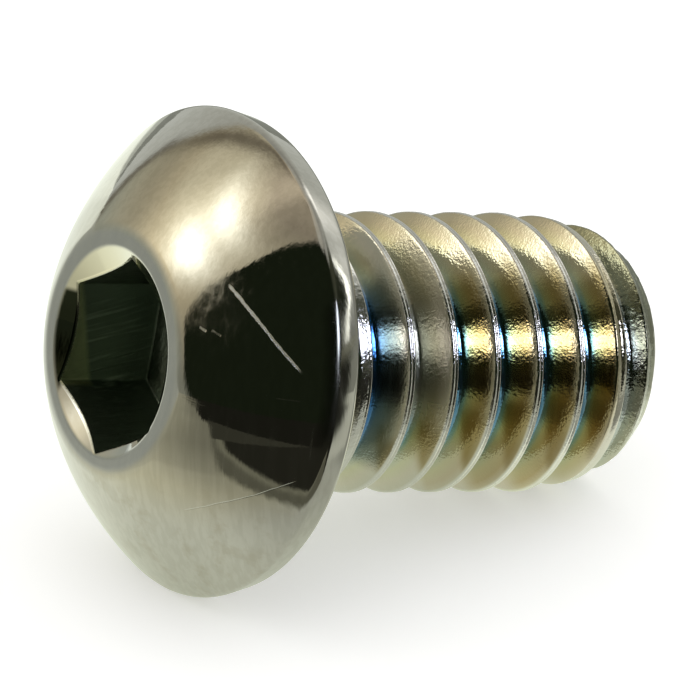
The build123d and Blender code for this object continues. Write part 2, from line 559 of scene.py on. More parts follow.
# %% Join the patches
# Each patch is its rows and their marks: depth, socket wall, lip, shank, brim and cone.
patches = [
    (end_rows, 0, 0, 0, 1, 0, 0),
    (lower, lower_depth, 0, 0, 1, 0, 0),
    (strip, strip_depth, 0, 0, 1, 0, 0),
    (upper, upper_depth, 0, 0, 1, 0, 0),
    (head_rows, 0, 0, head_lip, 0, brim_part, 0),
    (socket_rows, 0, socket_part, mouth_part * (1 - cone_part), 0, 0, mouth_part * cone_part),
]
points, marks, quads, count = [], [], [], 0
for rows, *row_marks in patches:
    number = count + np.arange(rows.shape[0] * rows.shape[1]).reshape(rows.shape[:2])
    corners = [number[:-1, :-1], number[:-1, 1:], number[1:, 1:], number[1:, :-1]]
    quads.append(np.stack(corners, axis=-1).reshape(-1, 4))
    points.append(rows.reshape(-1, 3))
    marks.append(np.stack([np.broadcast_to(mark, number.shape).ravel() for mark in row_marks], axis=1))
    count += number.size
points, marks, quads = np.vstack(points), np.vstack(marks), np.vstack(quads)

same_point = 1e-5
on_lattice = np.rint(points / same_point).astype(np.int64)
_, kept, merged = np.unique(on_lattice, axis=0, return_index=True, return_inverse=True)
points, marks, quads = points[kept], marks[kept], merged.ravel()[quads]
repeats = quads == np.roll(quads, -1, axis=1)
whole = quads[~repeats.any(axis=1)]
pinched = quads[repeats.sum(axis=1) == 1]
pinched = pinched[~(pinched == np.roll(pinched, -1, axis=1))].reshape(-1, 3)
print("merged", count, "grid points into", len(points))

# %% Marks that follow the thread
angles = np.arctan2(points[:, 1], points[:, 0])
grooves_up = (points[:, 2] - groove_height) / pitch - angles / turn
turns_wound = np.where(marks[:, 0] > 0, (angles - runout_start) / turn + np.rint(grooves_up), 0)
end_fade = 0.3
from_end = np.clip((points[:, 2] + length) / end_fade, 0, 1)
marks[:, 0] *= from_end
marks[:, 3] *= 0.5 + 0.5 * from_end
dome_foot, dome_fade = 0.45, 0.2
on_dome = np.clip((points[:, 2] - dome_foot) / dome_fade, 0, 1) * (1 - marks[:, 1])
print("the thread is wound", round(float(-turns_wound.min()), 1), "turns back from its run-out")

# %% Lay the screw down and build its mesh
tilt = lean - np.pi / 2
laid = np.column_stack([
    points[:, 0] * np.cos(tilt) + points[:, 2] * np.sin(tilt),
    points[:, 1],
    points[:, 2] * np.cos(tilt) - points[:, 0] * np.sin(tilt),
]) * MM
cad_low, cad_high = (np.array(corner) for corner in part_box("button_head_screw"))
own_low, own_high = laid.min(axis=0), laid.max(axis=0)
move = (cad_low + cad_high - own_low - own_high) / 2
move[2] = cad_low[2] - own_low[2]
laid += move

mesh = bpy.data.meshes.new("plated_screw")
mesh.from_pydata(laid.tolist(), [], whole.tolist() + pinched.tolist())
mesh.polygons.foreach_set("use_smooth", np.ones(len(mesh.polygons), bool))
point_marks = {
    "groove_depth": marks[:, 0], "socket_wall": marks[:, 1], "mouth_lip": marks[:, 2],
    "on_shank": marks[:, 3], "on_brim": marks[:, 4], "on_cone": marks[:, 5],
    "on_dome": on_dome, "turns_wound": turns_wound,
}
for name, values in point_marks.items():
    layer = mesh.attributes.new(name, "FLOAT", "POINT")
    layer.data.foreach_set("value", values.astype(np.float32))
mesh.update()
screw = bpy.data.objects.new("plated_screw", mesh)
bpy.context.scene.collection.objects.link(screw)
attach(screw, "root")
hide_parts("button_head_screw")
triangles = 2 * len(whole) + len(pinched)
print("the screw has", len(mesh.vertices), "points and", triangles, "triangles; moved by", move)
print("its size is", (own_high - own_low) / MM, "and the CAD's is", (cad_high - cad_low) / MM)

# %% [markdown]
# ## Tools for the finish
# A finish is a chain of small shader nodes: masks that say where something is, colours laid over one
# another by those masks, and noise for what is never quite even. These helpers add one node each and
# hand back its output, so that a finish reads as a list of steps.

# %% Values and places
def connect(tree, source, target):
    """Set a socket to a value, or link it to another node's output."""
    if isinstance(source, bpy.types.NodeSocket):
        tree.links.new(source, target)
    else:
        target.default_value = source


def maths(tree, operation, *values):
    """A Math node; its inputs are numbers or outputs."""
    node = tree.nodes.new("ShaderNodeMath")
    node.operation = operation
    for value, target in zip(values, node.inputs):
        connect(tree, value, target)
    return node.outputs[0]


def product(tree, *values):
    """All the values multiplied together: where every mask is 1."""
    total = values[0]
    for value in values[1:]:
        total = maths(tree, "MULTIPLY", total, value)
    return total


def add_part(tree, total, mask, share):
    """A total, and a share of a mask added to it."""
    return maths(tree, "MULTIPLY_ADD", mask, share, total)


def vectors(tree, operation, *values):
    """A Vector Math node; dot products and distances come out as a number."""
    node = tree.nodes.new("ShaderNodeVectorMath")
    node.operation = operation
    for value, target in zip(values, node.inputs):
        connect(tree, value, target)
    return node.outputs["Value" if operation in ("DOT_PRODUCT", "DISTANCE") else "Vector"]


def attribute(tree, name):
    """A number stored on the mesh's points."""
    node = tree.nodes.new("ShaderNodeAttribute")
    node.attribute_name = name
    return node.outputs["Fac"]


print("the first helpers work on numbers and places")


# %% Masks, colours and noise
def rise(tree, value, start, end):
    """0 up to start and 1 past end, with a smooth step between; start may be the higher one."""
    node = tree.nodes.new("ShaderNodeMapRange")
    node.interpolation_type = "SMOOTHSTEP"
    connect(tree, value, node.inputs["Value"])
    node.inputs["From Min"].default_value = min(start, end)
    node.inputs["From Max"].default_value = max(start, end)
    node.inputs["To Min"].default_value = 0 if start < end else 1
    node.inputs["To Max"].default_value = 1 if start < end else 0
    return node.outputs["Result"]


def over(tree, factor, below, above, kind="MIX"):
    """One colour over another, by a factor; a colour Mix node keeps its colours in inputs 6 and 7."""
    node = tree.nodes.new("ShaderNodeMix")
    node.data_type = "RGBA"
    node.blend_type = kind
    for value, target in zip((factor, below, above), (node.inputs[0], node.inputs[6], node.inputs[7])):
        connect(tree, value, target)
    return node.outputs[2]


def grain(tree, place, scale, detail=2.0, roughness=0.5, warp=0.0):
    """A Noise node; scale is in features a metre."""
    node = tree.nodes.new("ShaderNodeTexNoise")
    connect(tree, place, node.inputs["Vector"])
    node.inputs["Scale"].default_value = scale
    node.inputs["Detail"].default_value = detail
    node.inputs["Roughness"].default_value = roughness
    node.inputs["Distortion"].default_value = warp
    return node.outputs["Fac"]


def colour_steps(tree, value, stops):
    """A Color Ramp from rows of place, red, green and blue."""
    node = tree.nodes.new("ShaderNodeValToRGB")
    connect(tree, value, node.inputs["Fac"])
    ramp = node.color_ramp
    ramp.elements[1].position = 1.0
    for stop_place, *colour in stops:
        if stop_place in (0, 1):
            stop = ramp.elements[0 if stop_place == 0 else len(ramp.elements) - 1]
        else:
            stop = ramp.elements.new(stop_place)
        stop.color = (*colour, 1)
    return node.outputs["Color"]


print("the other helpers make masks, colours and noise")

# %% [markdown]
# ## Scratches
# A scratch is a thin, slightly ragged line of bare bright metal. It lies where the surface meets a
# plane, so it is given by its two ends and the middle of the curved face that it crosses. The same
# small group of nodes serves for each of them, with its own ends and width. Its line wanders by up
# to 0.06 mm, and its width runs from 0.2 to 1.8 times the width that it is given.

# %% Scratch group
scratch_group = bpy.data.node_groups.new("scratch", "ShaderNodeTree")
for name, kind in (
    ("Place", "NodeSocketVector"), ("Start", "NodeSocketVector"), ("Along", "NodeSocketVector"),
    ("Across", "NodeSocketVector"), ("Half Width", "NodeSocketFloat"),
):
    scratch_group.interface.new_socket(name, in_out="INPUT", socket_type=kind)
scratch_group.interface.new_socket("Mask", in_out="OUTPUT", socket_type="NodeSocketFloat")
given = scratch_group.nodes.new("NodeGroupInput")
result = scratch_group.nodes.new("NodeGroupOutput")
from_start = vectors(scratch_group, "SUBTRACT", given.outputs["Place"], given.outputs["Start"])
way = vectors(scratch_group, "DOT_PRODUCT", from_start, given.outputs["Along"])
aside = vectors(scratch_group, "DOT_PRODUCT", from_start, given.outputs["Across"])
wander = grain(scratch_group, given.outputs["Place"], 900)
wander = maths(scratch_group, "SUBTRACT", wander, 0.5)
aside = add_part(scratch_group, aside, wander, 0.12 * MM)
ragged = grain(scratch_group, given.outputs["Place"], 6000)
raggedness = maths(scratch_group, "MULTIPLY_ADD", ragged, 1.6, 0.2)
width = maths(scratch_group, "MULTIPLY", given.outputs["Half Width"], raggedness)
off_line = maths(scratch_group, "DIVIDE", maths(scratch_group, "ABSOLUTE", aside), width)
near = rise(scratch_group, off_line, 1.0, 0.3)
past_start = rise(scratch_group, way, 0, 0.06)
before_end = rise(scratch_group, way, 1, 0.9)
inside = product(scratch_group, near, past_start, before_end)
connect(scratch_group, inside, result.inputs["Mask"])
print("the scratch group has", len(scratch_group.nodes), "nodes")


# %% Place a scratch
def scratch(tree, place, start, end, middle, half_width):
    """A scratch in the plane through its two ends and the face's middle, all in millimetres.

    Along is the way from start to end divided by its length squared, so that a place's way along the
    scratch is 0 at the start and 1 at the end. Across is the unit normal of the plane.
    """
    start, end, middle = (np.array(corner) * MM for corner in (start, end, middle))
    along = (end - start) / ((end - start) @ (end - start))
    across = np.cross(end - start, start - middle)
    across = across / np.linalg.norm(across)
    node = tree.nodes.new("ShaderNodeGroup")
    node.node_tree = scratch_group
    connect(tree, place, node.inputs["Place"])
    node.inputs["Start"].default_value = start
    node.inputs["Along"].default_value = along
    node.inputs["Across"].default_value = across
    node.inputs["Half Width"].default_value = half_width * MM
    return node.outputs["Mask"]


print("a scratch is placed by its two ends")

# %% [markdown]
# ## The plating
# Bright plating over steel is a mirror with a faint warm cast. The clear film that protects it is
# only a few hundred nanometres thick, so it colours the light as oil on water does: thin on the
# crests, where it is wiped and silvery, and thicker towards the root, where it turns straw, olive
# and then blue. The mesh carries how deep each point lies in the thread, so one ramp over that depth
# gives the film's colour. Four more ramps are for the side that lies uppermost and a low place near
# the head, where a paler film is painted on as a painted sheen, the first turn, the worn turn and the
# last turn, where the film is rubbed off and the metal is grey. Patches of painted shade darken the
# film low on the front, above the middle, underneath and at the tip.

# %% Where things are on the screw
plating = bpy.data.materials.new("bright_plating")
plating.use_nodes = True
tree = plating.node_tree
shader = tree.nodes["Principled BSDF"]
place = tree.nodes.new("ShaderNodeTexCoord").outputs["Object"]
axes = tree.nodes.new("ShaderNodeSeparateXYZ")
connect(tree, place, axes.inputs["Vector"])
across_x, across_y, height_z = axes.outputs["X"], axes.outputs["Y"], axes.outputs["Z"]
depth = attribute(tree, "groove_depth")
wound = attribute(tree, "turns_wound")
in_socket = attribute(tree, "socket_wall")
on_lip = attribute(tree, "mouth_lip")
on_shank = attribute(tree, "on_shank")
on_brim = attribute(tree, "on_brim")
on_cone = attribute(tree, "on_cone")
on_dome = attribute(tree, "on_dome")
on_flank = rise(tree, depth, 0.02, 0.10)
on_crest = product(tree, on_shank, rise(tree, depth, 0.07, 0.015))
first_turn = rise(tree, wound, -1.25, -0.95)
past_worn_start = rise(tree, wound, -1.86, -1.74)
before_worn_end = rise(tree, wound, -1.48, -1.58)
worn_turn = product(tree, past_worn_start, before_worn_end, on_flank)
print("the plating reads", len(point_marks), "marks from the mesh:", ", ".join(point_marks))

# %% The film's colours
film = colour_steps(tree, depth, [
    (0, 0.76, 0.75, 0.71), (0.07, 0.62, 0.57, 0.42), (0.25, 0.52, 0.44, 0.25),
    (0.55, 0.52, 0.48, 0.28), (0.78, 0.46, 0.50, 0.33), (0.90, 0.26, 0.45, 0.50), (1, 0.17, 0.39, 0.60),
])
sheen_film = colour_steps(tree, depth, [
    (0, 0.76, 0.75, 0.72), (0.07, 0.66, 0.64, 0.56), (0.3, 0.68, 0.64, 0.54),
    (0.6, 0.67, 0.66, 0.49), (1, 0.52, 0.60, 0.58),
])
blue_film = colour_steps(tree, depth, [
    (0, 0.76, 0.75, 0.71), (0.08, 0.55, 0.52, 0.42), (0.3, 0.32, 0.34, 0.29),
    (0.6, 0.27, 0.32, 0.30), (0.85, 0.24, 0.32, 0.35), (0.95, 0.14, 0.29, 0.46), (1, 0.07, 0.22, 0.50),
])
satin_film = colour_steps(tree, depth, [
    (0, 0.76, 0.75, 0.71), (0.08, 0.60, 0.56, 0.45), (0.5, 0.42, 0.40, 0.29), (1, 0.38, 0.39, 0.31),
])
bare_film = colour_steps(tree, depth, [
    (0, 0.76, 0.75, 0.71), (0.25, 0.69, 0.68, 0.63), (0.5, 0.54, 0.54, 0.48), (1, 0.50, 0.51, 0.46),
])
print("the film's ramps have 7, 5, 7, 4 and 4 stops")

# %% Which film lies where
plain_metal = (0.62, 0.60, 0.55, 1)
# Painted sheen: the film is painted paler on the upper side and low near the head.
upper_sheen = rise(tree, across_y, -2.2 * MM, -1.1 * MM)
low_sheen = product(
    tree, rise(tree, height_z, 3.7 * MM, 3.0 * MM), rise(tree, across_y, -3.3 * MM, -2.85 * MM),
    rise(tree, across_x, 3.5 * MM, -0.5 * MM),
)
painted_sheen = maths(tree, "MAXIMUM", upper_sheen, low_sheen)
colour = over(tree, first_turn, film, blue_film)
colour = over(tree, painted_sheen, colour, sheen_film)
colour = over(tree, on_shank, plain_metal, colour)
colour = over(tree, worn_turn, colour, satin_film)
print("the head is plain metal and the shank carries the film")

# %% Painted shade in the film
# Painted shade: the film is darkened low on the front, in a band above the middle on the front, and
# underneath towards the tip.
shade_tint_low_front = (0.66, 0.60, 0.46, 1)
shade_tint_above_middle = (0.83, 0.82, 0.78, 1)
shade_tint_underneath = (0.89, 0.85, 0.84, 1)
shade_low_front = product(
    tree, rise(tree, height_z, 4.6 * MM, 4.0 * MM), rise(tree, across_y, -2.95 * MM, -3.25 * MM), on_flank
)
colour = over(tree, shade_low_front, colour, shade_tint_low_front, "MULTIPLY")
# The band of painted shade above the middle, on the front.
above = product(
    tree, rise(tree, height_z, 6.3 * MM, 6.9 * MM), rise(tree, height_z, 8.7 * MM, 8.1 * MM),
    rise(tree, across_y, -1.1 * MM, -1.6 * MM), on_flank, rise(tree, wound, -1.75, -1.95),
)
colour = over(tree, above, colour, shade_tint_above_middle, "MULTIPLY")
shade_underneath = product(
    tree, rise(tree, height_z, 3.4 * MM, 2.8 * MM), rise(tree, across_x, -0.5 * MM, 3.5 * MM), on_flank
)
colour = over(tree, shade_underneath, colour, shade_tint_underneath, "MULTIPLY")
print("three soft patches deepen the film")

# %% Bare end and painted shade at the tip
tip_shade_tint = (0.68, 0.70, 0.60, 1)
along = vectors(tree, "DOT_PRODUCT", place, (np.cos(lean), 0, -np.sin(lean)))
bare_end = product(tree, rise(tree, along, 4.85 * MM, 5.35 * MM), 0.85)
colour = over(tree, bare_end, colour, bare_film)
# Painted shade: the tip, past 7.3 mm along X, is painted darker.
tip_shade = rise(tree, across_x, 7.3 * MM, 7.5 * MM)
colour = over(tree, tip_shade, colour, tip_shade_tint, "MULTIPLY")
print("the last turn is grey from 4.85 mm along the axis")

# %% [markdown]
# ## Handling, the worn lip and painted shade
# The head is touched and the key is pushed in, so they look different from the thread. Faint stains
# lie on the dome and the rolled lip of the mouth is rubbed to a grey satin. The mouth's cone is painted
# paler towards its top and greyer lower down, painted light and shade, and its low far side is painted
# near black, a painted shade. A patch on the brim is painted near black and made duller, a painted shade.
# The socket's walls are painted dark, a painted shade, and carry the marks of the punch.

# %% Polish lines and stains
polish_tint = (0.93, 0.93, 0.92, 1)
stain_brown = (0.40, 0.35, 0.25, 1)
tarnish_brown = (0.50, 0.43, 0.32, 1)
on_head = maths(tree, "SUBTRACT", 1, on_shank)
streak_place = vectors(tree, "MULTIPLY", place, (1.0, 1.0, 0.07))
streaks = grain(tree, streak_place, 5200, 2, 0.55)
between_streaks = product(tree, rise(tree, streaks, 0.60, 0.40), on_head)
colour = over(tree, between_streaks, colour, polish_tint, "MULTIPLY")
low_dome = rise(tree, height_z, 5.2 * MM, 3.6 * MM)
stains = product(tree, rise(tree, grain(tree, place, 950, 4, 0.65), 0.50, 0.66), on_head)
stains = product(tree, stains, maths(tree, "MULTIPLY_ADD", low_dome, 0.22, 0.06))
colour = over(tree, stains, colour, stain_brown)
tarnish = product(tree, rise(tree, grain(tree, place, 900, 3, 0.6), 0.45, 0.75), on_shank)
colour = over(tree, product(tree, tarnish, 0.16), colour, tarnish_brown)
print("stains are faint, and darkest low on the dome")

# %% Lip, and painted light and shade on the cone and brim
lip_grey = (0.45, 0.455, 0.455, 1)
cone_shaded_low, cone_lit_high = (0.62, 0.63, 0.64, 1), (0.90, 0.88, 0.75, 1)
cone_shade_black = (0.03, 0.036, 0.022, 1)
brim_shade_grey = (0.10, 0.11, 0.09, 1)
lip_wear = maths(tree, "MULTIPLY_ADD", grain(tree, place, 1800, 3, 0.6), 0.5, 0.5)
colour = over(tree, product(tree, on_lip, lip_wear), colour, lip_grey)
# Painted shade: the low far side of the cone is painted near black.
cone_painted_shade = product(
    tree, on_cone, rise(tree, across_y, 1.95 * MM, 2.15 * MM), rise(tree, height_z, 8.05 * MM, 7.85 * MM)
)
# Painted light and shade: the cone is paler and warmer towards its top and greyer lower down.
cone_light_and_shade = over(tree, rise(tree, height_z, 5.5 * MM, 8.0 * MM), cone_shaded_low, cone_lit_high)
colour = over(tree, on_cone, colour, cone_light_and_shade)
colour = over(tree, cone_painted_shade, colour, cone_shade_black)
# Painted shade: a patch on the front of the brim is painted near black, hiding a reflection, and made duller.
brim_shade_patch = product(
    tree, on_brim, rise(tree, height_z, 10.4 * MM, 9.9 * MM),
    rise(tree, height_z, 6.2 * MM, 7.0 * MM), rise(tree, across_y, -5.2 * MM, -5.8 * MM),
)
colour = over(tree, product(tree, brim_shade_patch, 0.75), colour, brim_shade_grey)
print("the lip, the oil and the brim are laid over the stains")

# %% Punch marks and painted shade in the socket
socket_painted_shade = (0.29, 0.34, 0.29, 1)
punch_bright = (0.80, 0.88, 0.80, 1)
corner_straw = (0.70, 0.72, 0.48, 1)
punched_place = (-6.5 * MM, 2.2 * MM, 6.1 * MM)
broach_place = vectors(tree, "MULTIPLY", place, (0.06, 1.0, 1.0))
broach = grain(tree, broach_place, 6000, 2, 0.6, 0.4)
broached = rise(tree, vectors(tree, "DISTANCE", place, punched_place), 1.7 * MM, 0.9 * MM)
broach_lines = product(tree, rise(tree, broach, 0.50, 0.72), in_socket, broached, 0.6)
worn_corner = product(
    tree, rise(tree, across_x, -7.05 * MM, -7.25 * MM), rise(tree, across_y, 1.9 * MM, 2.05 * MM), in_socket
)
# Painted shade: the socket's walls are painted dark.
colour = over(tree, in_socket, colour, socket_painted_shade)
colour = over(tree, broach_lines, colour, punch_bright)
colour = over(tree, worn_corner, colour, corner_straw)
print("the socket is dark, with its punch marks along X")

# %% Scratches on the head
scratch_bright = (0.95, 0.96, 0.95, 1)
long_start, long_end = (-5.964, -3.344, 10.286), (-5.101, -5.915, 8.358)
scratches = scratch(tree, place, long_start, long_end, (-0.57, 0, 5.39), 0.055)
for share, width, start, end, middle in (
    (0.30, 0.020, (-7.573, -3.627, 3.97), (-5.534, -6.318, 5.529), (-0.54, -0.03, 5.37)),
    (0.20, 0.018, (-5.805, -5.582, 7.739), (-5.281, -6.058, 7.719), (-0.45, -0.13, 5.38)),
    (0.35, 0.040, (-6.86, -3.36, 9.20), (-6.74, -3.55, 9.12), (-0.85, 0.27, 5.3)),
    (0.25, 0.040, (-6.66, -3.66, 9.17), (-6.50, -3.92, 9.05), (-0.85, 0.27, 5.3)),
    (0.20, 0.030, (-5.10, -6.42, 7.05), (-5.30, -6.47, 6.1), (-0.3, -0.27, 5.32)),
):
    mark = scratch(tree, place, start, end, middle, width)
    scratches = maths(tree, "MAXIMUM", scratches, product(tree, mark, share))
scratches = product(tree, scratches, on_dome)
colour = over(tree, scratches, colour, scratch_bright)
print("six scratches; the boldest is", np.linalg.norm(np.subtract(long_end, long_start)).round(1), "mm")

# %% [markdown]
# ## How sharp the mirror is
# Roughness says how blurred the reflections are. The dome was polished up and down and keeps faint
# streaks, so its noise is stretched that way. The worn turn, the lip and the socket are duller, and
# a hazy thumb mark blurs one place near the top of the dome.

# %% Roughness
thumb_place = (-6.4 * MM, -3.7 * MM, 9.7 * MM)
haze = grain(tree, place, 420, 2, 0.5)
thumb = rise(tree, vectors(tree, "DISTANCE", place, thumb_place), 1.35 * MM, 0.5 * MM)
roughness = maths(tree, "MULTIPLY_ADD", rise(tree, streaks, 0.50, 0.75), 0.06, 0.03)
for mask, share in (
    (rise(tree, haze, 0.5, 0.8), 0.03), (on_shank, 0.04), (brim_shade_patch, 0.2), (worn_turn, 0.21),
    (on_crest, 0.06), (product(tree, first_turn, on_flank), 0.05), (on_lip, 0.14), (in_socket, 0.30),
    (product(tree, thumb, streaks), 0.22), (scratches, 0.70),
):
    roughness = add_part(tree, roughness, mask, share)
print("roughness runs from 0.03 on the clean dome to about 0.4 in the socket")

# %% [markdown]
# ## Fine relief
# Rolled thread is never a perfect mirror: the dies leave a pebbled skin a few micrometres deep that
# breaks each reflection into specks, and the cut end is rougher still. The dome is far smoother. All
# heights are in metres, and one Bump node turns their sum into a tilt of the surface.

# %% Relief
pebbles = maths(tree, "SUBTRACT", grain(tree, place, 15000, 2, 0.5), 0.5)
ripples = maths(tree, "SUBTRACT", grain(tree, place, 2600, 2, 0.5), 0.5)
tears = maths(tree, "SUBTRACT", grain(tree, place, 5200, 3, 0.65), 0.5)
specks = maths(tree, "SUBTRACT", grain(tree, place, 7500, 2, 0.6), 0.5)
torn = product(tree, on_shank, rise(tree, across_x, 6.5 * MM, 7.1 * MM))
relief = product(tree, pebbles, maths(tree, "MULTIPLY_ADD", on_shank, 4.6e-6, 0.10e-6))
ripple_height = maths(tree, "MULTIPLY_ADD", on_shank, 5e-6, 0.5e-6)
relief = maths(tree, "ADD", relief, product(tree, ripples, ripple_height))
for height, mask, share in (
    (specks, on_flank, 2.5e-6), (specks, worn_turn, 7e-6), (tears, torn, 26e-6), (tears, on_crest, 14e-6),
    (maths(tree, "SUBTRACT", broach, 0.5), in_socket, 22e-6),
    (maths(tree, "SUBTRACT", streaks, 0.5), on_head, 1.6e-6),
    (scratches, 1.0, -14e-6),
):
    relief = add_part(tree, relief, product(tree, height, mask), share)
print("the deepest relief, on the torn end, is at most 26 micrometres from peak to valley")

# %% Finish the plating
bump = tree.nodes.new("ShaderNodeBump")
bump.inputs["Strength"].default_value = 1
bump.inputs["Distance"].default_value = 1
connect(tree, relief, bump.inputs["Height"])

connect(tree, colour, shader.inputs["Base Color"])
connect(tree, roughness, shader.inputs["Roughness"])
connect(tree, bump.outputs["Normal"], shader.inputs["Normal"])
shader.inputs["Metallic"].default_value = 1
mesh.materials.append(plating)
print("the plating has", len(tree.nodes), "nodes")

# %% [markdown]
# ## The floor
# The screw lies on a pale sheet. Its diffuse colour takes the light and keeps the soft shadow under
# the screw. A little brightness of its own, for camera and mirror rays only, carries the sheet to
# white without putting more light on the metal.

# %% Floor
floor_half = 2.5
floor_corners = [(-1, -1), (1, -1), (1, 1), (-1, 1)]
floor_mesh = bpy.data.meshes.new("pale_sheet")
floor_mesh.from_pydata([(floor_half * x, floor_half * y, 0) for x, y in floor_corners], [], [(0, 1, 2, 3)])
floor = bpy.data.objects.new("pale_sheet", floor_mesh)
bpy.context.scene.collection.objects.link(floor)
print("the floor is", 2 * floor_half, "m square")

# %% Paper
sheet_lift = 0.3
paper = bpy.data.materials.new("pale_paper")
paper.use_nodes = True
paper_shader = paper.node_tree.nodes["Principled BSDF"]
paper_shader.inputs["Base Color"].default_value = (0.90, 0.90, 0.88, 1)
paper_shader.inputs["Roughness"].default_value = 0.9
paper_shader.inputs["Specular IOR Level"].default_value = 0.1
paper_shader.inputs["Emission Color"].default_value = (1, 1, 1, 1)
ray = paper.node_tree.nodes.new("ShaderNodeLightPath")
seen = ray.outputs["Is Camera Ray"]
for kind in ("Is Glossy Ray", "Is Transmission Ray"):
    seen = maths(paper.node_tree, "MAXIMUM", seen, ray.outputs[kind])
lift = maths(paper.node_tree, "MULTIPLY", seen, sheet_lift)
connect(paper.node_tree, lift, paper_shader.inputs["Emission Strength"])
floor_mesh.materials.append(paper)
print("the sheet's own brightness for camera and mirror rays is", sheet_lift)

# %% [markdown]
# ## The light tent
# Polished metal has hardly a colour of its own: it shows the room. Such parts stand in a tent of
# white cloth with soft lamps behind one wall and an opening for the camera, and the dark room beyond
# the opening gives the metal its black. The tent is one half dome, worked out as a grid of
# directions: azimuth is counted from +X, turning towards +Y, and elevation from the horizon. Each
# grid point gets the brightness of the cloth there. Only mirror rays see the tent, so the light on
# dull surfaces stays plain.


# %% Tools for the tent
def fade(value, start, end):
    """0 before start, 1 after end, and a smooth rise between: 3t² - 2t³ of the way t."""
    way = np.clip((value - start) / (end - start), 0, 1)
    return way * way * (3 - 2 * way)


def by_height(elevation, stops):
    """A colour read from a list of (elevation, red, green, blue) stops, straight between them."""
    stops = np.array(stops, float)
    return np.stack([np.interp(elevation, stops[:, 0], stops[:, band]) for band in (1, 2, 3)], axis=-1)


def glow(middle, spread):
    """1 in the middle of a lamp, falling off as a bell: e to the minus (distance / spread) squared."""
    round_off = (tent_azimuth - middle[0]) / spread[0]
    high_off = (tent_elevation - middle[1]) / spread[1]
    return np.exp(-round_off ** 2 - high_off ** 2)[..., None]


def blend(below, above, cover):
    """Lay one colour over another where cover is 1."""
    return below + (np.asarray(above, float) - below) * cover[..., None]


tent_azimuth, tent_elevation = np.meshgrid(np.linspace(-30, 330, 361), np.linspace(-12, 90, 103))
right_azimuth = np.where(tent_azimuth < 90, tent_azimuth + 360, tent_azimuth)
print("the tent has", tent_azimuth.size, "directions")

# %% Cloth behind the screw and to its right
cloth_foot, cloth_middle = (0.66, 0.69, 0.65), (0.46, 0.47, 0.43)
cloth_shaded, cloth_upper = (0.34, 0.34, 0.31), (0.50, 0.49, 0.43)
roof = (0.60, 0.53, 0.43)
cloth = by_height(tent_elevation, [
    (-12, *cloth_foot), (40, *cloth_middle), (60, *cloth_shaded), (74, *cloth_upper), (90, *roof),
])
tall_lamp = 1.25 * glow((11, 38), (7, 20))
small_lamp = 0.30 * glow((-3, 14), (5, 5))
cloth = cloth + tall_lamp + small_lamp
low_side = fade(right_azimuth, 310, 320) * (1 - fade(right_azimuth, 362, 376))
cloth = blend(cloth, (0.27, 0.28, 0.26), low_side * (1 - fade(tent_elevation, 1, 11)))
print("plain cloth, mean", cloth.mean(axis=(0, 1)).round(2))

# %% Lit wall on the left
wall_foot, wall_low, wall_warm = (0.51, 0.525, 0.425), (0.60, 0.58, 0.44), (1.14, 1.01, 0.70)
wall_lit, wall_upper = (1.43, 1.31, 0.95), (0.70, 0.61, 0.46)
lit_wall = by_height(tent_elevation, [
    (4, *wall_foot), (12, *wall_low), (32, *wall_warm), (39, *wall_lit), (54, *wall_lit),
    (67, *wall_upper), (78, *wall_upper), (90, *roof),
])
side_fall = np.interp(tent_azimuth, [90, 112, 134, 150, 166, 182], [0.42, 0.53, 0.92, 1, 0.92, 0.66])
even_top = 1 - 0.75 * fade(tent_elevation, 62, 74)
even_foot = 0.4 + 0.6 * fade(tent_elevation, 8, 24)
side_fall = 1 - (1 - side_fall) * even_top * even_foot
side_fall = side_fall * (1 - 0.42 * fade(tent_azimuth, 138, 168))
lamps = 1.5 * glow((151, 43), (15, 5)) + 1.0 * glow((144, 54), (21, 4.6))
lamp_colour = np.array([1.2, 1.25, 1.2])
lit_wall = lit_wall * side_fall[..., None] + lamps * lamp_colour
wall_cover = fade(tent_azimuth, 89, 93) * (1 - fade(tent_azimuth, 200, 230))
tent = blend(cloth, lit_wall, wall_cover)

seam_heights = [-12, 5, 15, 25, 40, 50, 60, 66, 74]
seam_line = np.interp(tent_elevation, seam_heights, [94, 92, 90.5, 93, 95, 98.5, 102, 109, 122])
seam_width = np.interp(tent_elevation, [0, 20, 35, 50, 60, 70], [1.8, 2.2, 3.2, 4.5, 6.5, 9])
seam_depth = np.interp(
    tent_elevation, [-12, 0, 15, 22, 32, 58, 66, 76], [0.4, 0.78, 0.78, 0.5, 0.85, 0.85, 0.7, 0]
)
in_seam = np.exp(-((tent_azimuth - seam_line) / seam_width) ** 2) * seam_depth
seam_colour = (0.13, 0.11, 0.08)
tent = blend(tent, seam_colour, in_seam)
print("the lit wall's brightest place is", tent.max(axis=(0, 1)).round(2))

# %% Opening, dark room and window
opening_left = np.interp(
    tent_elevation,
    [-12, -7, 7, 23, 32, 39, 48, 58, 63, 66],
    [193, 191.5, 185, 179, 175, 175, 180, 187, 194, 205],
)
opening_top = np.interp(
    tent_azimuth, [170, 187, 194, 205, 220, 250, 290, 330], [58, 59, 63, 66, 68, 69, 66, 60]
)
opening_right = np.interp(
    tent_elevation,
    [-12, -5, 0, 5, 8, 12, 18, 25, 32, 39, 44, 49, 60],
    [324, 329.5, 334, 338.5, 344.5, 349.5, 352, 352, 349, 345, 336, 316, 298],
)
right_blur = np.interp(tent_elevation, [-12, 13, 24, 40], [1.2, 1.5, 7, 12])
past_left = np.where(tent_azimuth < 60, 1, fade(tent_azimuth - opening_left, -1.0, 1.0))
under_top = 1 - fade(tent_elevation - opening_top, -2.5, 2.5)
before_right = 1 - fade((right_azimuth - opening_right) / right_blur, -1, 1)
room_dark, room_side = np.array([0.011, 0.015, 0.008]), (0.06, 0.065, 0.045)
room = blend(room_dark, room_side, fade(right_azimuth, 285, 325) * fade(tent_elevation, 5, 30))
